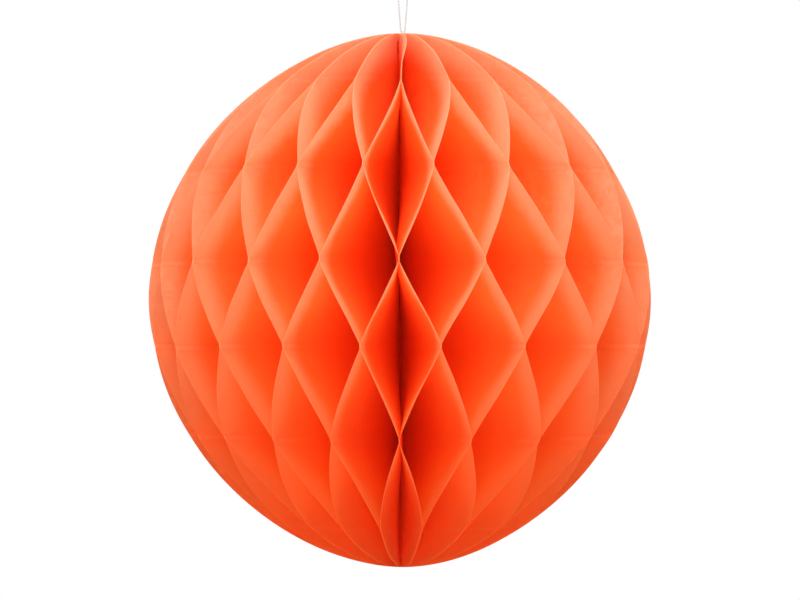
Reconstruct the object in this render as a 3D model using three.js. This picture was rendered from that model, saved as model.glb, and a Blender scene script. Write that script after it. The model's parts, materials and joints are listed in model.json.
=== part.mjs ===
// A paper honeycomb ball on a thread loop.
//
// Forty half-round tissue leaves are bound along a central spine and glued to their
// neighbours on six level lines, by turns to the one before and the one after, so that
// fanning them out opens a honeycomb. A card cover closes each end of the stack, and the
// two covers meet back to back at the seam, on the +Y side. Millimetres, +Z up. The origin
// is the point inside the top of the loop that rests on a hook.
import * as THREE from 'three';

// The ball
const BALL_RADIUS = 100; // half its height, from pole to pole
const BALL_HALF_WIDTH = 94;
const PROFILE_POWER_Z = 1.9; // how square the outline is towards the poles
const PROFILE_POWER_R = 1.8; // how square it is at the waist
const POLE_RADIUS = 6.5; // the short level edge that each leaf has at a pole

// The tissue leaves and their glue lines
const LEAF_COUNT = 40;
const LEAF_THICKNESS = 0.15;
const LEAF_GAP = 0.3; // between two leaves where they are glued
const LEAF_INNER_RADIUS = 4;
const GLUE_PITCH = 32;
const GLUE_ROWS = 6;
const GLUE_SHIFT = -1; // the middle of the rows, measured from the ball's centre
const GLUE_STRIPE = 3; // height of one line of glue
const POLE_STEPS = 4; // levels between the last glue line and a pole
// An opened ball is never quite even: the leaves stand wider apart on the +X side
const FAN_DRIFT = THREE.MathUtils.degToRad(6.5); // of a leaf at either side
const FAN_SKEW = THREE.MathUtils.degToRad(4.7); // more on the +X side, and less on the other

// The card covers and the tape that holds them together
const COVER_THICKNESS = 0.4;
const COVER_SPACING = 0.2; // between the two covers
const COVER_INNER_RADIUS = 7.5;
const COVER_MARGIN = 1; // how far the card stops short of the leaves' edge
const COVER_HEIGHT_SHARE = 0.985; // of the ball's height
const TAPE_SIZE = new THREE.Vector3(0.1, 42, 10);
const TAPE_CENTRE_Y = 45;
const TAPE_PITCH = 50;

// The spine
const BINDING_OUTER_RADIUS = 3.4;
const BINDING_INNER_RADIUS = 2.4;
const BINDING_HALF_HEIGHT = 97;
const CORD_RADIUS = 0.5;
const KNOT_RADIUS = 1.9;
const KNOT_HEIGHT = 5;
const KNOT_DEPTH = 4; // from a pole to the near end of its knot
const PIECE_GAP = 0.3; // between touching pieces of thread
const ROUND_SIDES = 12;

// The thread loop
const THREAD_THICKNESS = 0.6;
const LOOP_HEIGHT = 70; // from the pole to the hook
const LOOP_FOOT_SPREAD = 0.75; // each strand from the axis, where it enters the ball
const LOOP_SLOPE = 0.068; // how fast a strand leans outwards as it rises
const LOOP_LEAN_HEIGHT = 40;
const LOOP_SHOULDER = 8;
const LOOP_STEPS = 10; // along one strand
const LOOP_SEAT_HALF_LENGTH = 0.8; // of the level stretch on the hook
const THREAD_SIDES = 6;
const PIVOT_HEIGHT = 1.2; // above the pole, where the thread bends
const PIVOT_CLEARANCE = 0.35; // from the bend to the thread on either side

const SEAM_AZIMUTH = Math.PI / 2;
const FRONT_AZIMUTH = -Math.PI / 2;
const SEAM_HALF_WIDTH = COVER_SPACING / 2 + COVER_THICKNESS + LEAF_GAP / 2;
const CENTRE_Z = -(LOOP_HEIGHT + BALL_RADIUS);

const tissue = new THREE.MeshStandardMaterial({ color: 0xff6a30, roughness: 0.85, side: THREE.DoubleSide });
const card = new THREE.MeshStandardMaterial({ color: 0xe8743c, roughness: 0.9 });
const glue = new THREE.MeshStandardMaterial({ color: 0xe8b08c, roughness: 0.7 });
const thread = new THREE.MeshStandardMaterial({ color: 0xe4e4e2, roughness: 0.9 });
const tape = new THREE.MeshStandardMaterial({ color: 0xf2efe6, roughness: 0.5 });

// One closed body through a row of rings. Each ring runs anticlockwise as seen from ahead.
// The second half of a ring's sides splits along the other diagonal, so that the two faces
// of a twisted sheet match.
function loft(rings) {
  const sides = rings[0].length;
  const triangles = [];
  for (let ring = 1; ring < rings.length; ring += 1) {
    for (let side = 0; side < sides; side += 1) {
      const next = (side + 1) % sides;
      const [a, b] = [rings[ring - 1], rings[ring]];
      if (side < sides / 2) {
        triangles.push(a[side], a[next], b[next], a[side], b[next], b[side]);
      } else {
        triangles.push(a[side], a[next], b[side], a[next], b[next], b[side]);
      }
    }
  }
  const [first, last] = [rings[0], rings[rings.length - 1]];
  for (let side = 1; side < sides - 1; side += 1) {
    triangles.push(first[0], first[side + 1], first[side]);
    triangles.push(last[0], last[side], last[side + 1]);
  }
  const geometry = new THREE.BufferGeometry().setFromPoints(triangles);
  geometry.computeVertexNormals();
  return geometry;
}

function named(name, geometry, material) {
  const mesh = new THREE.Mesh(geometry, material);
  mesh.name = name;
  return mesh;
}

// Distance from the axis to the ball's outline, at a height above its centre
function outlineRadius(z) {
  const towardsPole = Math.min(1, Math.abs(z) / BALL_RADIUS) ** PROFILE_POWER_Z;
  return Math.max(POLE_RADIUS, BALL_HALF_WIDTH * (1 - towardsPole) ** (1 / PROFILE_POWER_R));
}

// Heights of the glue lines, from the bottom one to the top one
const glueHeights = Array.from(
  { length: GLUE_ROWS },
  (_, row) => GLUE_SHIFT + (row - (GLUE_ROWS - 1) / 2) * GLUE_PITCH,
);

// Heights from the edge of the last glue line to a pole, closer together near the pole
function levelsToPole(edge) {
  const start = Math.asin(edge / BALL_RADIUS);
  return Array.from({ length: POLE_STEPS }, (_, step) => {
    const angle = THREE.MathUtils.lerp(start, Math.PI / 2, (step + 1) / POLE_STEPS);
    return BALL_RADIUS * Math.sin(angle);
  });
}

// Heights at which a leaf has a point on its outline, from the bottom pole to the top one
function leafLevels() {
  const lowest = glueHeights[0] - GLUE_STRIPE / 2;
  const highest = glueHeights[GLUE_ROWS - 1] + GLUE_STRIPE / 2;
  const rows = glueHeights.flatMap((height, row) => {
    const edges = [height - GLUE_STRIPE / 2, height + GLUE_STRIPE / 2];
    return row === 0 ? edges : [height - GLUE_PITCH / 2, ...edges];
  });
  const below = levelsToPole(-lowest).map((z) => -z).reverse();
  return [...below, ...rows, ...levelsToPole(highest)];
}

// Which neighbour a leaf leans to at a height: -1 is the one before it and 1 the one after
function leanOf(leaf, z) {
  const glued = (row) => ((row + leaf) % 2 === 0 ? -1 : 1);
  const above = glueHeights.findIndex((height) => height + GLUE_STRIPE / 2 >= z);
  if (above <= 0) {
    return glued(above === 0 ? 0 : GLUE_ROWS - 1);
  }
  const start = glueHeights[above - 1] + GLUE_STRIPE / 2;
  const end = glueHeights[above] - GLUE_STRIPE / 2;
  const share = THREE.MathUtils.clamp((z - start) / (end - start), 0, 1);
  return THREE.MathUtils.lerp(glued(above - 1), glued(above), share);
}

// Azimuth of the line where a leaf meets the next one, at a radius. Line 0 is at one cover.
function glueAzimuth(line, radius) {
  const seam = Math.asin(SEAM_HALF_WIDTH / radius);
  const even = SEAM_AZIMUTH + seam + (line / LEAF_COUNT) * 2 * (Math.PI - seam);
  const side = Math.sin(even - FRONT_AZIMUTH);
  return even + FAN_DRIFT * side ** 2 + FAN_SKEW * side ** 3;
}

// A point of a leaf's middle surface, or beside it by an offset across the tissue
function leafPoint(leaf, radius, z, offset) {
  const [before, after] = [glueAzimuth(leaf - 1, radius), glueAzimuth(leaf, radius)];
  const reach = (after - before) / 2 - (LEAF_GAP + LEAF_THICKNESS) / 2 / radius;
  const azimuth = (before + after) / 2 + leanOf(leaf, z) * reach;
  const [cos, sin] = [Math.cos(azimuth), Math.sin(azimuth)];
  return new THREE.Vector3(radius * cos - offset * sin, radius * sin + offset * cos, z);
}

function leafGeometry(leaf) {
  const half = LEAF_THICKNESS / 2;
  return loft(leafLevels().map((z) => [
    leafPoint(leaf, LEAF_INNER_RADIUS, z, -half),
    leafPoint(leaf, outlineRadius(z), z, -half),
    leafPoint(leaf, outlineRadius(z), z, half),
    leafPoint(leaf, LEAF_INNER_RADIUS, z, half),
  ]));
}

// A half-round card on one side of the seam: -1 is the left one and 1 the right one
function coverGeometry(side) {
  const near = side * (COVER_SPACING / 2);
  const far = side * (COVER_SPACING / 2 + COVER_THICKNESS);
  const [low, high] = [Math.min(near, far), Math.max(near, far)];
  return loft(leafLevels().map((level) => {
    const z = level * COVER_HEIGHT_SHARE;
    const rim = outlineRadius(z) - COVER_MARGIN;
    return [
      new THREE.Vector3(low, COVER_INNER_RADIUS, z),
      new THREE.Vector3(high, COVER_INNER_RADIUS, z),
      new THREE.Vector3(high, rim, z),
      new THREE.Vector3(low, rim, z),
    ];
  }));
}

function tapeMesh(name, row) {
  const mesh = named(name, new THREE.BoxGeometry(...TAPE_SIZE.toArray()), tape);
  mesh.position.set(0, TAPE_CENTRE_Y, row * TAPE_PITCH);
  return mesh;
}

function bindingGeometry() {
  const section = [
    new THREE.Vector2(BINDING_INNER_RADIUS, -BINDING_HALF_HEIGHT),
    new THREE.Vector2(BINDING_OUTER_RADIUS, -BINDING_HALF_HEIGHT),
    new THREE.Vector2(BINDING_OUTER_RADIUS, BINDING_HALF_HEIGHT),
    new THREE.Vector2(BINDING_INNER_RADIUS, BINDING_HALF_HEIGHT),
    new THREE.Vector2(BINDING_INNER_RADIUS, -BINDING_HALF_HEIGHT),
  ];
  return new THREE.LatheGeometry(section, ROUND_SIDES).rotateX(Math.PI / 2);
}

function ellipse(halfX, halfY, z) {
  return Array.from({ length: ROUND_SIDES }, (_, side) => {
    const angle = (2 * Math.PI * side) / ROUND_SIDES;
    return new THREE.Vector3(halfX * Math.cos(angle), halfY * Math.sin(angle), z);
  });
}

// A knot as a round bead between two heights, with its ends flat
function bead(bottom, top) {
  const quarter = (top - bottom) / 4;
  const narrow = KNOT_RADIUS / 2;
  return [
    ellipse(narrow, narrow, bottom),
    ellipse(KNOT_RADIUS, KNOT_RADIUS, bottom + quarter),
    ellipse(KNOT_RADIUS, KNOT_RADIUS, top - quarter),
    ellipse(narrow, narrow, top),
  ];
}

// The knot under the top pole, with both strands side by side above it as one flat neck
function loopKnotGeometry() {
  const top = BALL_RADIUS - KNOT_DEPTH;
  const neckX = LOOP_FOOT_SPREAD + THREAD_THICKNESS / 2;
  const neckY = THREAD_THICKNESS / 2;
  const neckTop = BALL_RADIUS + PIVOT_HEIGHT - PIVOT_CLEARANCE;
  return loft([
    ...bead(top - KNOT_HEIGHT, top),
    ellipse(neckX, neckY, top + KNOT_HEIGHT / 4),
    ellipse(neckX, neckY, neckTop),
  ]);
}

function cordGeometry() {
  const top = BALL_RADIUS - KNOT_DEPTH - KNOT_HEIGHT - PIECE_GAP;
  const bottom = -(BALL_RADIUS - KNOT_DEPTH - KNOT_HEIGHT - PIECE_GAP);
  const rings = [bottom, top].map((z) => ellipse(CORD_RADIUS, CORD_RADIUS, z));
  return loft(rings);
}

function bottomKnotGeometry() {
  const bottom = -(BALL_RADIUS - KNOT_DEPTH);
  return loft(bead(bottom, bottom + KNOT_HEIGHT));
}

// The middle line of the loop, from the right foot over the hook to the left foot
function loopPath() {
  const foot = -LOOP_HEIGHT + PIVOT_HEIGHT + PIVOT_CLEARANCE;
  const top = THREAD_THICKNESS / 2;
  const strand = new THREE.CubicBezierCurve3(
    new THREE.Vector3(LOOP_FOOT_SPREAD, 0, foot),
    new THREE.Vector3(LOOP_FOOT_SPREAD + LOOP_SLOPE * LOOP_LEAN_HEIGHT, 0, foot + LOOP_LEAN_HEIGHT),
    new THREE.Vector3(LOOP_SHOULDER, 0, top),
    new THREE.Vector3(LOOP_SEAT_HALF_LENGTH, 0, top),
  );
  const right = strand.getPoints(LOOP_STEPS);
  const left = right.map((point) => new THREE.Vector3(-point.x, 0, point.z)).reverse();
  return [...right, ...left];
}

// A thread of regular section along a path in the XZ plane, with a flat side facing inwards
function threadGeometry(path) {
  const apothem = THREAD_THICKNESS / 2;
  const corner = apothem / Math.cos(Math.PI / THREAD_SIDES);
  const along = path.slice(1).map((point, i) => point.clone().sub(path[i]).normalize());
  const across = new THREE.Vector3(0, 1, 0);
  return loft(path.map((point, i) => {
    const before = along[Math.max(0, i - 1)];
    const after = along[Math.min(i, along.length - 1)];
    const tangent = before.clone().add(after).normalize();
    const inwards = new THREE.Vector3().crossVectors(tangent, across);
    const mitre = 1 / tangent.dot(after);
    return Array.from({ length: THREAD_SIDES }, (_, side) => {
      const angle = (2 * Math.PI * (side + 0.5)) / THREAD_SIDES;
      return point.clone()
        .addScaledVector(across, -corner * Math.sin(angle))
        .addScaledVector(inwards, corner * mitre * Math.cos(angle));
    });
  }));
}

function buildBall() {
  const ball = new THREE.Group();
  ball.position.z = CENTRE_Z;
  for (let leaf = 1; leaf <= LEAF_COUNT; leaf += 1) {
    const name = `leaf_${String(leaf).padStart(2, '0')}`;
    ball.add(named(name, leafGeometry(leaf), tissue));
  }
  ball.add(
    named('left_cover', coverGeometry(-1), card),
    named('right_cover', coverGeometry(1), card),
    tapeMesh('seam_tape_top', 1),
    tapeMesh('seam_tape_middle', 0),
    tapeMesh('seam_tape_bottom', -1),
    named('spine_binding', bindingGeometry(), glue),
    named('spine_cord', cordGeometry(), thread),
    named('loop_knot', loopKnotGeometry(), thread),
    named('bottom_knot', bottomKnotGeometry(), thread),
  );
  return ball;
}

const honeycombBall = new THREE.Group();
honeycombBall.add(named('hanging_loop', threadGeometry(loopPath()), thread), buildBall());

export default honeycombBall;
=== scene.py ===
"""A hanging tissue honeycomb ball: forty glued tissue leaves fanned round a spine, two card
covers that meet at the back, and a twisted thread loop. Metres, +Z up, in the CAD frame."""

import json
import math

import bpy
import numpy as np
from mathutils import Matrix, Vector


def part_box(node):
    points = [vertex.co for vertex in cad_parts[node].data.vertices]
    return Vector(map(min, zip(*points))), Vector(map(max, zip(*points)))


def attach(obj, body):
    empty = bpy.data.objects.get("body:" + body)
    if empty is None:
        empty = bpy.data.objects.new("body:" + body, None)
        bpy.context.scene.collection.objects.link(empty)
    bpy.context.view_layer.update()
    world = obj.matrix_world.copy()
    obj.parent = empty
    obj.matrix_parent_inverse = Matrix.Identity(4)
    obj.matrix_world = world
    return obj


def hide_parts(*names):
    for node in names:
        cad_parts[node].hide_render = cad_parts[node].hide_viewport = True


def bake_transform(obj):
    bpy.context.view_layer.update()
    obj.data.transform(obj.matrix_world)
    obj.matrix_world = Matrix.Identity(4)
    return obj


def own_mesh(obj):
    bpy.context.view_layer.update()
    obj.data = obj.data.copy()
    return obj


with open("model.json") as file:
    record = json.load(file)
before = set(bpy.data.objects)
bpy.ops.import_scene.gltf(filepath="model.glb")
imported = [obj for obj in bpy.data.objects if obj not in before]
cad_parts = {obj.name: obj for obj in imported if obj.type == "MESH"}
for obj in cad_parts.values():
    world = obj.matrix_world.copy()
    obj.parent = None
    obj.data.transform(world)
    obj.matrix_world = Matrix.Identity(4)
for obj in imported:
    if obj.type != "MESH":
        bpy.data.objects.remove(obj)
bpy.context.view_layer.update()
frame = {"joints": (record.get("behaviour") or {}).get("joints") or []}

MM = 0.001

# The ball
CENTRE_Z = -0.170
BALL_RADIUS = 100 * MM  # half its height
BALL_HALF_WIDTH = 94 * MM
PROFILE_POWER_Z = 1.91
PROFILE_POWER_R = 1.82
SIDE_DRIFT = 0.012  # the ball is a little fuller on its left than on its right

# The tissue leaves
LEAF_COUNT = 40
LEAF_THICKNESS = 0.12 * MM
LEAF_INNER_RADIUS = 3.5 * MM
POLE_INNER_RADIUS = 0.75 * MM  # past the ends of the sleeve, where the tissue closes in on the thread
POLE_RIM_RADIUS = 1.9 * MM  # where a leaf's outline ends at a pole
SLEEVE_END = 96.9 * MM  # above and below the ball's centre
POLE_CLOSING = 0.8 * MM  # how soon past the sleeve the tissue has closed in
GLUE_GAP = 0.03 * MM  # between two glued leaves
GLUE_ROWS = (-82.6 * MM, -50.6 * MM, -17.4 * MM, 13.0 * MM, 46.8 * MM, 78.7 * MM)
GLUE_FLAT = 0.9 * MM  # half the height of the stretch that lies on the neighbour
GLUE_RISE = 0.06  # how much farther from the waist a glue line is at the spine
BEND_AT_RIM = 0.08  # 0 is straight from one glue line to the next, and 1 is a smooth wave
BEND_AT_SPINE = 1.0
BEND_POWER = 7  # how near the rim the wave turns straight
NODE_DRIFT = math.radians(0.25)
NODE_HEIGHT_DRIFT = 0.2 * MM
DRIFT_REACH = 0.6 * BALL_HALF_WIDTH  # how far out from the axis the drift is at its full size
LINE_WAVES = (3, 60, 24)  # how many waves a glue line has, and their longest and shortest in mm
LEAF_WAVES = (4, 45, 14)  # the same for a leaf's wrinkles
WRINKLE = 0.32 * MM
RIM_UNEVENNESS = 0.12 * MM
POLE_CURL = 0.10  # how far a leaf may come away from its neighbour above the last glue line
POLE_SWAY = 0.8 * MM  # of a glued pair of leaves past the last glue line
FRONT_SWAY = 2.6 * MM  # of the pair of leaves nearest the camera, towards +X
FRONT_SWAY_POWER = 4  # how near the rim it starts
FRONT_UNEVEN_SHARE = 0.3  # of the pole sway that this pair also has
FRONT_CURL_SHARE = 0.1  # of the pole curl that this pair has
SPINE_SWIRL = math.radians(-22)  # the leaves curl sideways where they crowd in to the spine
SWIRL_REACH = 7 * MM
BOW_TURN = math.radians(-11)  # the leaves bow sideways near the spine, most at one height
BOW_HEIGHT = 32 * MM
BOW_REACH = 32 * MM
SEAM_CALM = math.radians(130)  # the swirl and the bow die away nearer the seam, clear of the covers
RADIAL_STEPS = 16
LEVELS_BETWEEN_ROWS = 14
LEVELS_TO_POLE = 20
SHEET_SPAN = 200 * MM  # how much tissue one unit of its UV map covers

# The covers and their tape
COVER_SPACING = 0.2 * MM
COVER_THICKNESS = 0.3 * MM
COVER_INNER_RADIUS = 7.5 * MM
COVER_MARGIN = 1.2 * MM
COVER_HEIGHT_SHARE = 0.985
COVER_LEAST_WIDTH = 0.6 * MM
TAPE_THICKNESS = 0.12 * MM
TAPE_END = 0.8 * MM  # from the end of the tape's space to the middle of its teeth
TAPE_TEETH = 13
TAPE_TOOTH = 0.45 * MM  # half the depth of a tooth

# The thread. Heights are from the hang point, and the ball's top pole is at POLE_Z.
THREAD_THICKNESS = 0.6 * MM
THREAD_PITCH = 2.2 * MM
FOOT_SPREAD = 0.85 * MM  # from the axis to each strand just above the ball
THREAD_SLOPE = 0.068
LEAN_HEIGHT = 40 * MM
SHOULDER = 8 * MM
POLE_Z = -70 * MM
PIVOT_Z = -68.8 * MM
STRAND_OFFSET = 0.31 * MM  # from the axis to each strand inside the ball
NECK_OFFSET = 0.5 * MM  # the same, where the strands part above the pole
KNOT_TOP_Z = -74 * MM
BOTTOM_KNOT_TOP_Z = CENTRE_Z - 91 * MM
KNOT_HEIGHT = 5 * MM
KNOT_THREAD = 0.8 * MM
KNOT_PITCH = 2.4 * MM
CORD_THICKNESS = 1.0 * MM
CORD_PITCH = 3.2 * MM

# The sleeve of bound edges
SLEEVE_OUTER_RADIUS = 3.12 * MM
SLEEVE_INNER_RADIUS = 2.45 * MM
RIB_HEIGHT = 0.16 * MM
LUMP_HEIGHT = 0.25 * MM
LUMP_WAVES = 14
CLOSING_DEPTH = 0.6 * MM  # how much the sleeve narrows at its top
CLOSING_HEIGHT = 1.5 * MM
FRAY = 0.5 * MM

# Colours, as linear red, green and blue
TISSUE_REFLECTED = (0.99, 0.155, 0.026)
TISSUE_REFLECTED_DENSE = (1.0, 0.235, 0.055)
TISSUE_PASSED = (1.0, 0.245, 0.055)
TISSUE_PASSED_DENSE = (0.995, 0.175, 0.028)
TISSUE_PAINTED_LOW_SHADE = (1.0, 0.11, 0.010)  # painted shade: deeper red low on the ball, where less bounced light reaches
TISSUE_BOUNCED = (0.992, 0.59, 0.14)  # what light picks up on its way between the sheets
TISSUE_PALE = (1.0, 0.5, 0.28)  # along the glue lines
# Painted rim light: the paler peach the tissue is given near its cut edge and higher on the ball, where
# more light falls
PAINTED_RIM_LIGHT_THIN = (0.99, 0.34, 0.17)
PAINTED_RIM_LIGHT_DENSE = (1.0, 0.47, 0.28)
CARD_DEEP = (0.82, 0.19, 0.055)
CARD_BRIGHT = (0.9, 0.25, 0.085)
CARD_FLECK = (0.95, 0.5, 0.3)
CARD_WORN = (0.85, 0.72, 0.6)
THREAD_DARK = (0.46, 0.46, 0.46)
THREAD_LIGHT = (0.64, 0.64, 0.63)
THREAD_SOILED = (0.52, 0.51, 0.49)
SLEEVE_DEEP = (1.0, 0.06, 0.005)
SLEEVE_BRIGHT = (1.0, 0.10, 0.012)
TAPE_DARK = (0.86, 0.83, 0.74)
TAPE_LIGHT = (0.93, 0.91, 0.85)
TAPE_BUBBLE = (0.97, 0.96, 0.92)
FLOOR_DARK = (0.80, 0.80, 0.80)
FLOOR_LIGHT = (0.84, 0.84, 0.84)
WHITE = (1.0, 1.0, 1.0)

# How the tissue and the sleeve take light
TISSUE_SHARE = 0.5  # of the light that goes through a sheet
SLEEVE_SHARE = 0.45  # of the light that goes into the sleeve
RIM_LIGHT_START = 4.5  # mm from the cut edge to where the painted rim light starts to give way to the full dye
RIM_LIGHT_DEPTH = 15  # mm from the cut edge to where the painted rim light is gone and the dye is at its full strength
RIM_LIGHT_CLOUDS = 4.0  # mm by which cloudy spots in the paper bring the end of the painted rim light nearer

# The studio, in metres and watts
FLOOR_RADIUS = 0.8
FLOOR_DROP = 0.9  # below the middle of the ball
SKY_STRENGTH = 0.52
GROUND_STRENGTH = 0.10
SOFTBOX_SIZE = 1.0
SOFTBOXES = (
    ("front_softbox", (-0.05, -1.35, 0.0), 4.5),
    ("low_softbox", (0, -0.95, -0.75), 4.5),
    ("left_softbox", (-1.25, -0.6, 0.1), 9),
    ("right_softbox", (1.25, -0.6, 0.1), 8.2),
    ("top_softbox", (0, -0.35, 1.15), 7),
    ("key_softbox", (0, -0.95, 0.8), 8.5),
    ("back_softbox", (0.2, 1.3, 0.4), 5),
)
CAMERA_DISTANCE = 1.2
CAMERA_AZIMUTH = math.radians(0.8)
CAMERA_ELEVATION = math.radians(-0.8)
CAMERA_SENSOR = 36.0  # mm
CAMERA_LENS = 143.955  # mm
CAMERA_SHIFT = -0.003625  # sideways, as a share of the picture's width
LIGHT_BOUNCES = 32  # light crosses many sheets on its way out of a deep cell

SEED = 11
rng = np.random.default_rng(SEED)


# ---------------------------------------------------------------- meshes

def make_object(name, verts, faces):
    """A smooth-shaded mesh object, linked to the scene."""
    mesh = bpy.data.meshes.new(name)
    mesh.from_pydata(np.asarray(verts, float).reshape(-1, 3).tolist(), [], faces)
    mesh.polygons.foreach_set("use_smooth", [True] * len(mesh.polygons))
    mesh.update()
    piece = bpy.data.objects.new(name, mesh)
    bpy.context.scene.collection.objects.link(piece)
    return piece


def grid_faces(rows, columns, start, flip=False):
    """Four-cornered faces over a grid of vertices numbered row by row."""
    faces = []
    for row in range(rows - 1):
        for column in range(columns - 1):
            a = start + row * columns + column
            face = (a, a + 1, a + columns + 1, a + columns)
            faces.append(face[::-1] if flip else face)
    return faces


def perimeter(rows, columns):
    """Vertices round the edge of a grid, in order."""
    bottom = list(range(columns))
    right = [row * columns + columns - 1 for row in range(1, rows)]
    top = [(rows - 1) * columns + column for column in range(columns - 2, -1, -1)]
    left = [row * columns for row in range(rows - 2, 0, -1)]
    return bottom + right + top + left


def mark_sharp(piece, pairs):
    """Keeps the shading from running over these edges."""
    mesh = piece.data
    wanted = {tuple(sorted(pair)) for pair in pairs}
    sharp = mesh.attributes.new("sharp_edge", "BOOLEAN", "EDGE")
    sharp.data.foreach_set("value", [tuple(sorted(e.vertices)) in wanted for e in mesh.edges])


def add_values(piece, name, values):
    """A number for each vertex, for the materials to read."""
    attribute = piece.data.attributes.new(name, "FLOAT", "POINT")
    attribute.data.foreach_set("value", np.asarray(values, np.float32).ravel())


def add_uv(piece, u, v):
    """A UV map from one pair of numbers for each vertex."""
    mesh = piece.data
    layer = mesh.uv_layers.new(name="sheet")
    corners = np.zeros(len(mesh.loops), np.int32)
    mesh.loops.foreach_get("vertex_index", corners)
    pairs = np.stack([np.ravel(u), np.ravel(v)], axis=1)[corners]
    layer.data.foreach_set("uv", pairs.astype(np.float32).ravel())


def sheet_object(name, middle, across, thickness, values):
    """A closed thin sheet about a grid of points. across is the unit vector through it."""
    rows, columns = middle.shape[:2]
    count = rows * columns
    faces = grid_faces(rows, columns, 0) + grid_faces(rows, columns, count, flip=True)
    edge = perimeter(rows, columns)
    following = edge[1:] + edge[:1]
    for a, b in zip(edge, following):
        faces.append((b, a, a + count, b + count))
    half = across * thickness / 2
    piece = make_object(name, np.concatenate([middle - half, middle + half]), faces)
    sharp = list(zip(edge, following))
    mark_sharp(piece, sharp + [(a + count, b + count) for a, b in sharp])
    for key in values:
        add_values(piece, key, np.concatenate([values[key], values[key]]))
    return piece


# ---------------------------------------------------------------- the leaves

def outline_radius(z):
    """Distance from the axis to the ball's outline at heights above its centre."""
    towards_pole = np.clip(np.abs(z) / BALL_RADIUS, 0, 1) ** PROFILE_POWER_Z
    return BALL_HALF_WIDTH * (1 - towards_pole) ** (1 / PROFILE_POWER_R)


def pole_height():
    """How far above the centre a leaf's outline ends."""
    share = (POLE_RIM_RADIUS / BALL_HALF_WIDTH) ** PROFILE_POWER_R
    return BALL_RADIUS * (1 - share) ** (1 / PROFILE_POWER_Z)


def leaf_levels():
    """Heights of a leaf's rows of vertices: close together at the glue lines and the poles."""
    near_row = np.array([-3.2, -2.3, -1.7, -1.2, -0.7, 0, 0.7, 1.2, 1.7, 2.3, 3.2]) * MM
    levels = [row + offset for row in GLUE_ROWS for offset in near_row]
    for low, high in zip(GLUE_ROWS[:-1], GLUE_ROWS[1:]):
        levels += list(np.linspace(low + near_row[-1], high + near_row[0], LEVELS_BETWEEN_ROWS)[1:-1])
    for side, row in ((-1, GLUE_ROWS[0]), (1, GLUE_ROWS[-1])):
        start = math.asin((abs(row) + near_row[-1]) / BALL_RADIUS)
        end = math.asin(pole_height() / BALL_RADIUS)
        angles = np.linspace(start, end, LEVELS_TO_POLE)[1:]
        levels += [side * BALL_RADIUS * math.sin(angle) for angle in angles]
    return np.array(sorted(levels))


def leaf_planes():
    """Azimuth at which each leaf's middle plane stands in the open ball, read off its joint."""
    joints = {joint["name"]: joint for joint in frame["joints"]}
    shut_fan = math.radians(360 - joints["fold"]["range_deg"][1])
    planes = []
    for leaf in range(1, LEAF_COUNT + 1):
        shut = math.pi / 2 + shut_fan * (leaf - 0.5) / LEAF_COUNT
        planes.append(shut + math.radians(joints[f"leaf_{leaf:02d}_fan"]["range_deg"][1]))
    return np.array(planes)


planes = leaf_planes()
line_azimuths = np.concatenate([
    [math.pi / 2],
    (planes[1:] + planes[:-1]) / 2,
    [math.pi * 5 / 2],
])
line_drift = rng.normal(0, NODE_DRIFT, (LEAF_COUNT + 1, len(GLUE_ROWS)))
line_rise = rng.normal(0, NODE_HEIGHT_DRIFT, (LEAF_COUNT + 1, len(GLUE_ROWS)))
line_drift[[0, -1]] = 0
line_rise[[0, -1]] = 0


def glued_line(leaf, row):
    """The glue line that a leaf is on at a row: the one before it, or the one after it."""
    return leaf - 1 if (row + leaf) % 2 == 0 else leaf


def line_azimuth(line, radius):
    """Where a glue line stands: the first and last on the covers, and the rest spread between."""
    seam = np.arcsin((COVER_SPACING / 2 + COVER_THICKNESS) / radius)
    return line_azimuths[line] + seam * (1 - 2 * line / LEAF_COUNT)


def glued_azimuth(leaf, row, radius):
    """Where a leaf lies at a glue line, half a thickness to its own side of the line."""
    line = glued_line(leaf, row)
    side = 1 if line < leaf else -1
    drift = line_drift[line, row] * np.clip(radius / DRIFT_REACH, 0, 1)
    return line_azimuth(line, radius) + drift + side * (LEAF_THICKNESS + GLUE_GAP) / 2 / radius


def row_height(leaf, row, radius):
    """Glue lines run a little away from the waist on their way in to the spine."""
    depth = np.clip(1 - radius / BALL_HALF_WIDTH, 0, 1)
    return GLUE_ROWS[row] * (1 + GLUE_RISE * depth ** 2) + line_rise[glued_line(leaf, row), row]


def rim_share_at(z, radius):
    """0 at the axis and 1 at the leaf's outline, at a height above the ball's centre."""
    return np.clip(radius / np.maximum(outline_radius(z), POLE_RIM_RADIUS), 0, 1)


def inner_radius(z):
    """The leaves are bound to the sleeve, and close in on the thread past its ends."""
    past = np.clip((np.abs(z) - SLEEVE_END) / POLE_CLOSING, 0, 1)
    return LEAF_INNER_RADIUS + (POLE_INNER_RADIUS - LEAF_INNER_RADIUS) * past


def soft_noise(z, radius, waves):
    """A smooth field from -1 to 1 over a leaf, as a sum of a few slanted waves."""
    total = np.zeros(np.broadcast(z, radius).shape)
    for along, inward, phase in waves:
        total = total + np.sin(along * z / MM + inward * radius / MM + phase)
    return total / len(waves)


def draw_waves(count, longest, shortest):
    """Random slanted waves with lengths in mm between the two."""
    waves = []
    for _ in range(count):
        length = rng.uniform(shortest, longest)
        slant = rng.uniform(0, math.pi)
        rate = 2 * math.pi / length
        waves.append((rate * math.cos(slant), rate * math.sin(slant), rng.uniform(0, 2 * math.pi)))
    return waves


line_waves = [draw_waves(*LINE_WAVES) for _ in range(LEAF_COUNT + 1)]


def away_from_seam(azimuth):
    """0 at the seam where the covers meet, rising to 1 at SEAM_CALM from it on either side."""
    from_seam = np.minimum(azimuth - line_azimuths[0], line_azimuths[-1] - azimuth)
    share = np.clip(from_seam / SEAM_CALM, 0, 1)
    return share * share * (3 - 2 * share)


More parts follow.
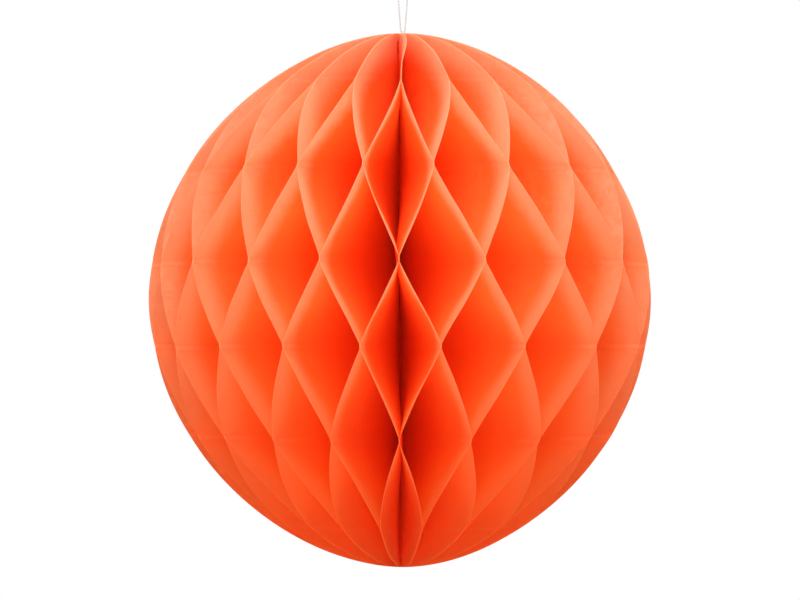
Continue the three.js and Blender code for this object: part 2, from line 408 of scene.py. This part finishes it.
def leaf_azimuth(leaf, z, radius, waves, curl):
    """Azimuth of a leaf's middle surface, and the height above the nearest glue line."""
    rim_share = np.clip(radius / BALL_HALF_WIDTH, 0, 1)
    bend = BEND_AT_SPINE + (BEND_AT_RIM - BEND_AT_SPINE) * rim_share_at(z, radius) ** BEND_POWER
    azimuth = glued_azimuth(leaf, 0, radius) + 0 * z
    from_row = z - row_height(leaf, 0, radius)
    between = np.zeros(azimuth.shape)
    for row in range(1, len(GLUE_ROWS)):
        low = row_height(leaf, row - 1, radius)
        high = row_height(leaf, row, radius)
        share = np.clip((z - low - GLUE_FLAT) / (high - low - 2 * GLUE_FLAT), 0, 1)
        eased = share + (share * share * (3 - 2 * share) - share) * bend
        step = glued_azimuth(leaf, row, radius) - glued_azimuth(leaf, row - 1, radius)
        azimuth = azimuth + step * eased
        between = between + np.sin(math.pi * share) ** 2
        nearer = np.abs(z - high) < np.abs(from_row)
        from_row = np.where(nearer, z - high, from_row)
    azimuth = azimuth + between * soft_noise(z, radius, waves) * WRINKLE / radius * rim_share
    for row, side in ((0, -1), (len(GLUE_ROWS) - 1, 1)):
        height = row_height(leaf, row, radius)
        past = np.clip((side * (z - height) - GLUE_FLAT) / (BALL_RADIUS - abs(height)), 0, 1)
        loose = np.sin(math.pi / 2 * past) ** 2
        line = glued_line(leaf, row)
        on_cover = line in (0, LEAF_COUNT)
        sway = soft_noise(z, radius, line_waves[line]) * (0 if on_cover else POLE_SWAY)
        apart = curl
        if line == LEAF_COUNT // 2:
            sway = (FRONT_SWAY + FRONT_UNEVEN_SHARE * sway) * rim_share_at(z, radius) ** FRONT_SWAY_POWER
            apart = FRONT_CURL_SHARE * curl
        middle = planes[leaf - 1]
        azimuth = azimuth + (middle - glued_azimuth(leaf, row, radius)) * apart * loose
        azimuth = azimuth + sway * loose * np.sin(math.pi * past) / radius
    bow = np.exp(-((z - BOW_HEIGHT) / BOW_REACH) ** 2) * (1 - rim_share) ** 2
    swirl = np.exp(-(radius / SWIRL_REACH) ** 2)
    turn = BOW_TURN * bow + SPINE_SWIRL * swirl
    return azimuth + turn * away_from_seam(azimuth), from_row


def depth_from_edge(z, radius):
    """Distance from each point of a leaf to the nearest point of its cut edge."""
    top = pole_height()
    edge_z = top * np.sin(np.linspace(-math.pi / 2, math.pi / 2, 400))
    edge_r = outline_radius(edge_z)
    gaps = np.hypot(z[..., None] - edge_z, radius[..., None] - edge_r)
    return gaps.min(axis=-1)


levels = leaf_levels()
depth_shares = np.linspace(0, 1, RADIAL_STEPS) ** 0.9
plain_rim = np.maximum(outline_radius(levels), POLE_RIM_RADIUS)[:, None]
plain_inner = inner_radius(levels)[:, None]
plain_radius = plain_inner + (plain_rim - plain_inner) * depth_shares[None, :]
edge_depth = depth_from_edge(levels[:, None] + 0 * plain_radius, plain_radius)


def leaf_sheet(leaf):
    """One tissue leaf as a closed sheet, on its own body."""
    middle_azimuth = planes[leaf - 1]
    waves = draw_waves(*LEAF_WAVES)
    curl = rng.uniform(0.25, 1) * POLE_CURL
    uneven = rng.normal(0, RIM_UNEVENNESS)
    z = levels[:, None]
    rim = outline_radius(z) * (1 - SIDE_DRIFT * math.cos(middle_azimuth)) + uneven
    rim = np.maximum(rim, POLE_RIM_RADIUS)
    inner = inner_radius(z)
    radius = inner + (rim - inner) * depth_shares[None, :]
    azimuth, from_row = leaf_azimuth(leaf, z, radius, waves, curl)
    height = CENTRE_Z + z + 0 * radius
    middle = np.stack([radius * np.cos(azimuth), radius * np.sin(azimuth), height], axis=-1)
    across = np.stack([-np.sin(azimuth), np.cos(azimuth), 0 * azimuth], axis=-1)
    sheet = sheet_object(f"tissue_leaf_{leaf:02d}", middle, across, LEAF_THICKNESS, {
        "from_edge_mm": edge_depth / MM,
        "from_glue_mm": from_row / MM,
        "height_mm": (z + 0 * radius) / MM,
    })
    u = np.concatenate([radius, radius]) / SHEET_SPAN + 0.61 * leaf
    v = np.concatenate([height, height]) / SHEET_SPAN
    add_uv(sheet, u, v)
    sheet.data.materials.append(tissue)
    name = f"leaf_{leaf:02d}"
    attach(sheet, name)
    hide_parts(name)
    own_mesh(sheet)
    return sheet


# ---------------------------------------------------------------- materials

class Nodes:
    """Short calls for building a material's node tree."""

    def __init__(self, name):
        self.material = bpy.data.materials.new(name)
        self.material.use_nodes = True
        self.tree = self.material.node_tree
        self.tree.nodes.clear()

    def add(self, kind, **settings):
        node = self.tree.nodes.new(kind)
        for key, value in settings.items():
            setattr(node, key, value)
        return node

    def put(self, socket, value):
        if isinstance(value, bpy.types.NodeSocket):
            self.tree.links.new(value, socket)
        elif isinstance(value, tuple) and len(value) == 3 and socket.type == "RGBA":
            socket.default_value = (*value, 1)
        else:
            socket.default_value = value

    def attribute(self, name):
        return self.add("ShaderNodeAttribute", attribute_name=name).outputs["Fac"]

    def sheet_place(self):
        """Place on the flat sheet, in millimetres."""
        uv = self.add("ShaderNodeUVMap", uv_map="sheet").outputs["UV"]
        scale = self.add("ShaderNodeVectorMath", operation="SCALE")
        self.put(scale.inputs[0], uv)
        self.put(scale.inputs["Scale"], SHEET_SPAN / MM)
        return scale.outputs[0]

    def object_place(self):
        """Place in the row frame, in millimetres."""
        coords = self.add("ShaderNodeTexCoord").outputs["Object"]
        scale = self.add("ShaderNodeVectorMath", operation="SCALE")
        self.put(scale.inputs[0], coords)
        self.put(scale.inputs["Scale"], 1 / MM)
        return scale.outputs[0]

    def noise(self, place, size, detail=2.0, stretch=(1, 1, 1), rough=0.5):
        """Noise with bumps of about size mm, longer along an axis whose stretch is under 1."""
        mapping = self.add("ShaderNodeMapping")
        self.put(mapping.inputs["Vector"], place)
        mapping.inputs["Scale"].default_value = [s / size for s in stretch]
        noise = self.add("ShaderNodeTexNoise")
        self.put(noise.inputs["Vector"], mapping.outputs[0])
        noise.inputs["Scale"].default_value = 1
        noise.inputs["Detail"].default_value = detail
        noise.inputs["Roughness"].default_value = rough
        return noise.outputs["Fac"]

    def math(self, operation, a, b=0.0, c=0.0):
        node = self.add("ShaderNodeMath", operation=operation)
        for socket, value in zip(node.inputs, (a, b, c)):
            self.put(socket, value)
        return node.outputs[0]

    def range(self, value, low, high, to_low=0.0, to_high=1.0):
        node = self.add("ShaderNodeMapRange", interpolation_type="SMOOTHSTEP")
        for key, item in zip(
            ("Value", "From Min", "From Max", "To Min", "To Max"),
            (value, low, high, to_low, to_high),
        ):
            self.put(node.inputs[key], item)
        return node.outputs[0]

    def mix(self, share, a, b):
        node = self.add("ShaderNodeMix", data_type="RGBA")
        self.put(node.inputs["Factor"], share)
        self.put(node.inputs[6], a)
        self.put(node.inputs[7], b)
        return node.outputs[2]

    def tint(self, colour, amount):
        """A colour times a number."""
        node = self.add("ShaderNodeVectorMath", operation="SCALE")
        self.put(node.inputs[0], colour)
        self.put(node.inputs["Scale"], amount)
        return node.outputs[0]

    def colour(self, value):
        node = self.add("ShaderNodeRGB")
        node.outputs[0].default_value = (*value, 1)
        return node.outputs[0]

    def bump(self, height, distance, strength=1.0, under=None):
        node = self.add("ShaderNodeBump")
        self.put(node.inputs["Height"], height)
        node.inputs["Distance"].default_value = distance
        node.inputs["Strength"].default_value = strength
        if under is not None:
            self.put(node.inputs["Normal"], under)
        return node.outputs[0]

    def principled(self, **inputs):
        node = self.add("ShaderNodeBsdfPrincipled")
        for key, value in inputs.items():
            self.put(node.inputs[key.replace("_", " ")], value)
        return node.outputs[0]

    def mix_shader(self, share, a, b):
        node = self.add("ShaderNodeMixShader")
        for socket, value in zip(node.inputs, (share, a, b)):
            self.put(socket, value)
        return node.outputs[0]

    def finish(self, shader):
        output = self.add("ShaderNodeOutputMaterial")
        self.put(output.inputs["Surface"], shader)
        return self.material


def tissue_material():
    """Thin dyed tissue. A ray that meets a sheet is thrown back or goes on through it, and
    the far face lets out whatever is already inside."""
    n = Nodes("orange_tissue")
    place = n.sheet_place()
    height = n.attribute("height_mm")
    from_edge = n.attribute("from_edge_mm")
    clumps = n.noise(place, 1.1, detail=4, rough=0.6)
    fibres = n.noise(place, 0.45, detail=3, stretch=(0.35, 1, 1))
    clouds = n.noise(place, 3.5, detail=2)
    formation = n.math("ADD", n.math("MULTIPLY", clumps, 0.5), n.math("MULTIPLY", fibres, 0.2))
    formation = n.math("ADD", formation, n.math("MULTIPLY", clouds, 0.3))
    dense = n.range(formation, 0.41, 0.59)
    glue = n.range(n.math("ABSOLUTE", n.attribute("from_glue_mm")), 0.2, 1.1, 1.0, 0.0)
    glue = n.math("MULTIPLY", glue, n.range(clumps, 0.25, 0.6, 0.45, 1.0))
    glue = n.math("MULTIPLY", glue, n.range(from_edge, 2, 14, 0.4, 0.03))
    glue = n.math("MULTIPLY", glue, n.range(height, -85, 20, 0.1, 1.0))
    # Painted rim light: paler near the cut edge, where light reaches into the cells, with cloudy spots,
    # and paler higher on the ball, lit from above
    depth = n.math("ADD", from_edge, n.math("MULTIPLY", clouds, RIM_LIGHT_CLOUDS))
    painted_rim_light = n.range(depth, RIM_LIGHT_START, RIM_LIGHT_DEPTH, 1.0, 0.0)
    painted_rim_light = n.math("MULTIPLY", painted_rim_light, n.range(height, -85, 90, 0.04, 1.0))
    # Painted shade: the tissue is made deeper red low on the ball, where less light falls
    painted_low_shade = n.range(height, -95, 50, 0.8, 0.0)
    seen = n.add("ShaderNodeLightPath").outputs["Is Camera Ray"]

    def dyed(thin, thick, painted_rim_thin, painted_rim_thick):
        """The camera sees the deep dye, and light on its way between sheets keeps more green."""
        colour = n.mix(dense, n.colour(thin), n.colour(thick))
        # painted shade low on the ball
        colour = n.mix(painted_low_shade, colour, n.colour(TISSUE_PAINTED_LOW_SHADE))
        # painted rim light near the cut edge
        colour = n.mix(painted_rim_light, colour, n.mix(dense, n.colour(painted_rim_thin), n.colour(painted_rim_thick)))
        colour = n.mix(glue, colour, n.colour(TISSUE_PALE))
        return n.mix(seen, n.colour(TISSUE_BOUNCED), colour)

    reflected = dyed(TISSUE_REFLECTED, TISSUE_REFLECTED_DENSE, PAINTED_RIM_LIGHT_THIN, PAINTED_RIM_LIGHT_DENSE)
    passed = dyed(TISSUE_PASSED, TISSUE_PASSED_DENSE, PAINTED_RIM_LIGHT_DENSE, PAINTED_RIM_LIGHT_THIN)
    crepe = n.bump(formation, 0.05 * MM, 0.6)
    crepe = n.bump(n.noise(place, 5, detail=2), 0.25 * MM, 0.5, under=crepe)
    face = n.principled(
        Base_Color=reflected,
        Roughness=n.range(dense, 0, 1, 0.92, 0.78),
        Specular_IOR_Level=0.35,
        Sheen_Weight=n.math("MULTIPLY", painted_rim_light, 0.15),
        Sheen_Roughness=0.7,
        Normal=crepe,
    )
    through = n.add("ShaderNodeBsdfTranslucent")
    n.put(through.inputs["Color"], passed)
    n.put(through.inputs["Normal"], crepe)
    outside = n.mix_shader(
        n.range(dense, 0, 1, TISSUE_SHARE + 0.03, TISSUE_SHARE - 0.03), face, through.outputs[0])
    inside = n.add("ShaderNodeBsdfTranslucent")
    n.put(inside.inputs["Color"], WHITE)
    from_inside = n.add("ShaderNodeNewGeometry").outputs["Backfacing"]
    return n.finish(n.mix_shader(from_inside, outside, inside.outputs[0]))


def card_material():
    """Dyed paper-faced card: flecked fibres, scuffed and paler towards its cut edge."""
    n = Nodes("cover_card")
    place = n.object_place()
    clouds = n.noise(place, 9, detail=3)
    grain = n.noise(place, 0.5, detail=4, stretch=(1, 1, 0.3))
    flecks = n.range(n.noise(place, 0.8, detail=2, stretch=(1, 1, 0.35)), 0.66, 0.72)
    scuffs = n.range(n.noise(place, 3, detail=5, rough=0.7), 0.5, 0.68)
    near_cut = n.range(n.attribute("from_edge_mm"), 0.0, 3.0, 1.0, 0.0)
    worn = n.math("MAXIMUM", n.range(n.attribute("from_edge_mm"), -0.05, 0.05, 0.9, 0.0),
                  n.math("MULTIPLY", n.math("MULTIPLY", scuffs, near_cut), 0.7))
    colour = n.mix(clouds, CARD_DEEP, CARD_BRIGHT)
    colour = n.mix(n.math("MULTIPLY", flecks, 0.35), colour, CARD_FLECK)
    colour = n.mix(worn, colour, CARD_WORN)
    relief = n.bump(grain, 0.06 * MM, 0.5)
    relief = n.bump(clouds, 0.4 * MM, 0.3, under=relief)
    return n.finish(n.principled(
        Base_Color=colour,
        Roughness=n.range(grain, 0.3, 0.7, 0.72, 0.9),
        Specular_IOR_Level=0.35,
        Normal=relief,
    ))


def thread_material():
    """Light grey polyester thread: fine filaments along the ply, with a slight sheen."""
    n = Nodes("hanging_thread")
    place = n.sheet_place()
    filaments = n.noise(place, 0.09, detail=2, stretch=(0.12, 1, 1))
    soil = n.noise(n.object_place(), 6, detail=2)
    colour = n.mix(filaments, THREAD_DARK, THREAD_LIGHT)
    colour = n.mix(n.range(soil, 0.45, 0.8, 0.0, 0.3), colour, THREAD_SOILED)
    return n.finish(n.principled(
        Base_Color=colour,
        Roughness=n.range(filaments, 0.3, 0.7, 0.55, 0.8),
        Specular_IOR_Level=0.4,
        Sheen_Weight=0.3,
        Normal=n.bump(filaments, 0.03 * MM, 0.8),
    ))


def sleeve_material():
    """Bound tissue edges soaked with glue: deep red, with some light going into them."""
    n = Nodes("spine_glue")
    place = n.object_place()
    beads = n.noise(place, 1.6, detail=3, stretch=(1, 1, 0.5))
    fine = n.noise(place, 0.3, detail=3)
    soaked = n.range(beads, 0.42, 0.6)
    colour = n.mix(soaked, SLEEVE_DEEP, SLEEVE_BRIGHT)
    colour = n.tint(colour, n.range(fine, 0.3, 0.7, 0.88, 1.05))
    face = n.principled(
        Base_Color=colour,
        Roughness=n.range(soaked, 0, 1, 0.9, 0.6),
        Specular_IOR_Level=0.1,
        Normal=n.bump(n.math("ADD", beads, n.math("MULTIPLY", fine, 0.3)), 0.15 * MM, 0.8),
    )
    through = n.add("ShaderNodeBsdfTranslucent")
    n.put(through.inputs["Color"], colour)
    return n.finish(n.mix_shader(SLEEVE_SHARE, face, through.outputs[0]))


def tape_material():
    """Double-sided tape: a milky film with small trapped bubbles."""
    n = Nodes("seam_tape")
    place = n.object_place()
    bubbles = n.range(n.noise(place, 1.3, detail=1), 0.60, 0.68)
    weave = n.noise(place, 0.35, detail=2, stretch=(1, 0.3, 1))
    colour = n.mix(n.noise(place, 7, detail=2), TAPE_DARK, TAPE_LIGHT)
    colour = n.mix(n.math("MULTIPLY", bubbles, 0.5), colour, TAPE_BUBBLE)
    return n.finish(n.principled(
        Base_Color=colour,
        Roughness=n.range(weave, 0.3, 0.7, 0.35, 0.55),
        Coat_Weight=0.2,
        Normal=n.bump(n.math("ADD", weave, bubbles), 0.05 * MM, 0.6),
    ))


def floor_material():
    """A plain pale floor with a faint grain."""
    n = Nodes("pale_floor")
    place = n.object_place()
    grain = n.noise(place, 2.5, detail=4)
    colour = n.mix(n.noise(place, 160, detail=2), FLOOR_DARK, FLOOR_LIGHT)
    return n.finish(n.principled(
        Base_Color=colour,
        Roughness=n.range(grain, 0.3, 0.7, 0.75, 0.9),
        Normal=n.bump(grain, 0.2 * MM, 0.4),
    ))


tissue = tissue_material()
card = card_material()
thread = thread_material()
spine_glue = sleeve_material()
tape = tape_material()


# ---------------------------------------------------------------- covers and tape

def cover_sheet(name, side, body):
    """A half-round card on one side of the seam: -1 is the left one and 1 the right one."""
    z = levels[:, None] * COVER_HEIGHT_SHARE
    rim = np.maximum(outline_radius(z) - COVER_MARGIN, COVER_INNER_RADIUS + COVER_LEAST_WIDTH)
    radius = COVER_INNER_RADIUS + (rim - COVER_INNER_RADIUS) * depth_shares[None, :]
    offset = side * (COVER_SPACING + COVER_THICKNESS) / 2
    middle = np.stack([offset + 0 * radius, radius, CENTRE_Z + z + 0 * radius], axis=-1)
    across = np.zeros(middle.shape)
    across[..., 0] = -1
    sheet = sheet_object(f"{name}_card", middle, across, COVER_THICKNESS, {
        "from_edge_mm": edge_depth / MM,
    })
    sheet.data.materials.append(card)
    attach(sheet, body)
    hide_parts(name)
    return sheet


def tape_strip(name):
    """A strip of tape torn off on a toothed cutter, so that its short ends are serrated."""
    low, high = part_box(name)
    across_steps = 2 * TAPE_TEETH + 1
    along = np.linspace(low.y + TAPE_END, high.y - TAPE_END, 24)
    z = np.linspace(low.z, high.z, across_steps)
    tooth = np.where(np.arange(across_steps) % 2 == 0, -TAPE_TOOTH, TAPE_TOOTH)
    y = along[None, :] + 0 * z[:, None]
    y[:, 0] += tooth
    y[:, -1] += tooth
    middle = np.stack([0 * y, y, z[:, None] + 0 * y], axis=-1)
    across = np.zeros(middle.shape)
    across[..., 0] = -1
    strip = sheet_object(f"{name}_strip", middle, across, TAPE_THICKNESS, {})
    strip.data.materials.append(tape)
    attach(strip, "core")
    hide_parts(name)
    return strip


# ---------------------------------------------------------------- thread

def frames_along(path):
    """Tangents and two steady cross vectors along a path, none of them twisting."""
    tangents = np.gradient(path, axis=0)
    tangents /= np.linalg.norm(tangents, axis=1)[:, None]
    side = np.cross(tangents[0], [0.0, 1.0, 0.0])
    side /= np.linalg.norm(side)
    sides = [side]
    for tangent in tangents[1:]:
        side = sides[-1] - tangent * (sides[-1] @ tangent)
        sides.append(side / np.linalg.norm(side))
    sides = np.array(sides)
    return tangents, sides, np.cross(tangents, sides)


def even_path(path, step):
    """The same path with points a step apart."""
    lengths = np.concatenate([[0], np.cumsum(np.linalg.norm(np.diff(path, axis=0), axis=1))])
    count = max(2, int(round(lengths[-1] / step)) + 1)
    places = np.linspace(0, lengths[-1], count)
    return np.stack([np.interp(places, lengths, path[:, k]) for k in range(3)], axis=1), places


def twisted_thread(name, paths, thickness, pitch, plies, sides=8, step=0.14 * MM):
    """Plies wound round each path, as one mesh of closed tubes."""
    ply_radius = thickness / 2 * (0.56 if plies == 2 else 0.5)
    wind_radius = thickness / 2 - ply_radius
    verts, faces, us, vs = [], [], [], []
    for path in paths:
        points, places = even_path(path, step)
        tangents, first, second = frames_along(points)
        for ply in range(plies):
            turn = 2 * math.pi * (places / pitch + ply / plies)
            out = first * np.cos(turn)[:, None] + second * np.sin(turn)[:, None]
            around = np.cross(tangents, out)
            lean = 2 * math.pi * wind_radius / pitch
            flat = (around - tangents * lean) / math.hypot(1, lean)
            centre = points + out * wind_radius
            start = len(verts)
            for k in range(sides):
                angle = 2 * math.pi * k / sides
                ring = centre + ply_radius * (out * math.cos(angle) + flat * math.sin(angle))
                verts.extend(ring)
                us.extend(places)
                vs.extend([ply_radius * angle] * len(places))
            count = len(places)
            for k in range(sides):
                a, b = start + k * count, start + (k + 1) % sides * count
                for i in range(count - 1):
                    faces.append((a + i, b + i, b + i + 1, a + i + 1))
            faces.append(tuple(start + k * count for k in reversed(range(sides))))
            faces.append(tuple(start + k * count + count - 1 for k in range(sides)))
    piece = make_object(name, np.array(verts), faces)
    add_uv(piece, np.array(us) / SHEET_SPAN, np.array(vs) / SHEET_SPAN)
    piece.data.materials.append(thread)
    return piece


def bezier(points, count):
    """Points along a cubic curve with four control points."""
    t = np.linspace(0, 1, count)[:, None]
    a, b, c, d = [np.array(p, float) for p in points]
    return a * (1 - t) ** 3 + 3 * b * t * (1 - t) ** 2 + 3 * c * t * t * (1 - t) + d * t ** 3


def hanging_loop():
    """Both strands and the top of the loop as one thread."""
    foot = PIVOT_Z + 0.35 * MM
    right = bezier([
        (FOOT_SPREAD, 0, foot),
        (FOOT_SPREAD + THREAD_SLOPE * LEAN_HEIGHT, 0, foot + LEAN_HEIGHT),
        (SHOULDER, 0, THREAD_THICKNESS / 2),
        (0, 0, THREAD_THICKNESS / 2),
    ], 200)
    root = np.array([
        [STRAND_OFFSET, 0, KNOT_TOP_Z - 0.8 * MM],
        [STRAND_OFFSET, 0, POLE_Z - 0.2 * MM],
        [NECK_OFFSET, 0, POLE_Z + 0.6 * MM],
    ])
    right = np.concatenate([root, right])
    left = right[::-1][1:] * (-1, 1, 1)
    piece = twisted_thread("hanging_loop_thread", [np.concatenate([right, left])],
                           THREAD_THICKNESS, THREAD_PITCH, plies=2)
    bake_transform(piece)
    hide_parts("hanging_loop")


def knot_path(top, height, radius):
    """A pulled-tight overhand knot, as a trefoil squeezed to a bead."""
    t = np.linspace(0, 2 * math.pi, 240)
    wind = 2 + np.cos(3 * t)
    x = wind * np.cos(2 * t) / 3 * radius
    y = wind * np.sin(2 * t) / 3 * radius
    z = top - height / 2 + np.sin(3 * t) * height / 2
    return np.stack([x, y, z], axis=1)


def knot(name, node, body, top):
    """Two pulled-tight knots, one inside the other."""
    middle = top - KNOT_HEIGHT / 2
    paths = [
        knot_path(middle + 1.9 * MM, 3.6 * MM, 1.45 * MM),
        knot_path(middle + 1.2 * MM, 2.4 * MM, 0.9 * MM),
    ]
    piece = twisted_thread(name, paths, KNOT_THREAD, KNOT_PITCH, plies=2)
    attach(piece, body)
    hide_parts(node)


def spine_cord():
    """A three-ply cord up the bore of the sleeve."""
    low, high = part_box("spine_cord")
    path = np.array([[0, 0, low.z], [0, 0, high.z]])
    piece = twisted_thread("spine_cord_thread", [path], CORD_THICKNESS, CORD_PITCH, plies=3,
                           step=0.3 * MM)
    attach(piece, "core")
    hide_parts("spine_cord")


def spine_sleeve():
    """The bound edges of the leaves: forty soft ribs, lumpy with glue, round an open bore."""
    low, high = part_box("spine_binding")
    around = 240
    z = np.linspace(low.z, high.z, 150)[:, None]
    angle = np.linspace(0, 2 * math.pi, around, endpoint=False)[None, :]
    ribs = RIB_HEIGHT * np.abs(np.cos(LEAF_COUNT / 2 * angle)) ** 0.7
    lumps = np.zeros((len(z), around))
    for _ in range(LUMP_WAVES):
        turns = rng.integers(1, 9)
        rate = rng.uniform(0.15, 1.1) / MM
        lumps += np.sin(turns * angle + rate * z + rng.uniform(0, 6.28)) / LUMP_WAVES
    closing = CLOSING_DEPTH * np.clip(1 - (high.z - z) / CLOSING_HEIGHT, 0, 1) ** 2
    outer = SLEEVE_OUTER_RADIUS + ribs + LUMP_HEIGHT * lumps - closing
    inner = SLEEVE_INNER_RADIUS + LUMP_HEIGHT * lumps - closing
    frayed = FRAY * np.sin(7 * angle + 1.3) * np.sin(11 * angle)
    verts = []
    for radius in (outer, inner):
        height = z + 0 * angle
        height[0] += 0.3 * MM + frayed[0] * 0.6
        height[-1] -= 0.1 * MM + frayed[0] * 0.3
        verts.append(np.stack([radius * np.cos(angle), radius * np.sin(angle), height], axis=-1))
    rows = len(z)
    count = rows * around
    faces = []
    for row in range(rows - 1):
        for k in range(around):
            a, b = row * around + k, row * around + (k + 1) % around
            faces.append((a, b, b + around, a + around))
            faces.append((b + count, a + count, a + around + count, b + around + count))
    for k in range(around):
        a, b = k, (k + 1) % around
        faces.append((b, a, a + count, b + count))
        top = (rows - 1) * around
        faces.append((a + top, b + top, b + top + count, a + top + count))
    piece = make_object("spine_binding_sleeve", np.concatenate(verts), faces)
    piece.data.materials.append(spine_glue)
    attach(piece, "core")
    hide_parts("spine_binding")


# ---------------------------------------------------------------- the studio

def floor_disc(name, radius, z, sides=96):
    """A round floor."""
    verts = [(radius * math.cos(a), radius * math.sin(a), z)
             for a in np.linspace(0, 2 * math.pi, sides, endpoint=False)]
    piece = make_object(name, verts, [tuple(range(sides))])
    piece.data.materials.append(floor_material())
    return piece


def area_light(name, place, size, power, target=(0, 0, CENTRE_Z)):
    """A round soft light that faces the ball."""
    data = bpy.data.lights.new(name, "AREA")
    data.shape = "DISK"
    data.size = size
    data.energy = power
    lamp = bpy.data.objects.new(name, data)
    lamp.location = place
    aim = [t - p for t, p in zip(target, place)]
    lamp.rotation_mode = "QUATERNION"
    lamp.rotation_quaternion = Vector(aim).to_track_quat("-Z", "Y")
    bpy.context.scene.collection.objects.link(lamp)
    return lamp


def studio_world(above, below):
    """White to the camera. Its light is stronger from above than from below."""
    world = bpy.data.worlds.new("white_studio")
    world.use_nodes = True
    tree = world.node_tree
    background = tree.nodes["Background"]
    coords = tree.nodes.new("ShaderNodeTexCoord")
    split = tree.nodes.new("ShaderNodeSeparateXYZ")
    fade = tree.nodes.new("ShaderNodeMapRange")
    fade.interpolation_type = "SMOOTHSTEP"
    for key, value in (("From Min", -0.8), ("From Max", 0.9), ("To Min", below), ("To Max", above)):
        fade.inputs[key].default_value = value
    path = tree.nodes.new("ShaderNodeLightPath")
    seen = tree.nodes.new("ShaderNodeMix")
    seen.inputs["B"].default_value = 1.0
    tree.links.new(coords.outputs["Generated"], split.inputs[0])
    tree.links.new(split.outputs["Z"], fade.inputs["Value"])
    tree.links.new(path.outputs["Is Camera Ray"], seen.inputs["Factor"])
    tree.links.new(fade.outputs["Result"], seen.inputs["A"])
    tree.links.new(seen.outputs["Result"], background.inputs["Strength"])
    background.inputs["Color"].default_value = (1, 1, 1, 1)
    bpy.context.scene.world = world


def main_camera():
    """Level with the ball's middle, in front of it, with a long lens."""
    data = bpy.data.cameras.new("camera")
    data.sensor_width = CAMERA_SENSOR
    data.lens = CAMERA_LENS
    data.shift_x = CAMERA_SHIFT
    camera = bpy.data.objects.new("camera", data)
    flat = CAMERA_DISTANCE * math.cos(CAMERA_ELEVATION)
    camera.location = (
        flat * math.sin(CAMERA_AZIMUTH),
        -flat * math.cos(CAMERA_AZIMUTH),
        CENTRE_Z + CAMERA_DISTANCE * math.sin(CAMERA_ELEVATION),
    )
    aim = Vector((0, 0, CENTRE_Z)) - camera.location
    camera.rotation_mode = "QUATERNION"
    camera.rotation_quaternion = aim.to_track_quat("-Z", "Y")
    bpy.context.scene.collection.objects.link(camera)
    bpy.context.scene.camera = camera


# ---------------------------------------------------------------- the ball, put together

for leaf in range(1, LEAF_COUNT + 1):
    leaf_sheet(leaf)
cover_sheet("left_cover", -1, "core")
cover_sheet("right_cover", 1, "folding_cover")
for strip in ("seam_tape_top", "seam_tape_middle", "seam_tape_bottom"):
    tape_strip(strip)
hanging_loop()
knot("loop_knot_thread", "loop_knot", "knot", KNOT_TOP_Z)
knot("bottom_knot_thread", "bottom_knot", "core", BOTTOM_KNOT_TOP_Z)
spine_cord()
spine_sleeve()

floor_disc("floor", FLOOR_RADIUS, CENTRE_Z - FLOOR_DROP)
studio_world(above=SKY_STRENGTH, below=GROUND_STRENGTH)
for name, place, power in SOFTBOXES:
    area_light(name, place, SOFTBOX_SIZE, power)
main_camera()

scene = bpy.context.scene
scene.view_settings.view_transform = "Standard"
scene.cycles.max_bounces = LIGHT_BOUNCES
scene.cycles.diffuse_bounces = LIGHT_BOUNCES
scene.cycles.transmission_bounces = LIGHT_BOUNCES
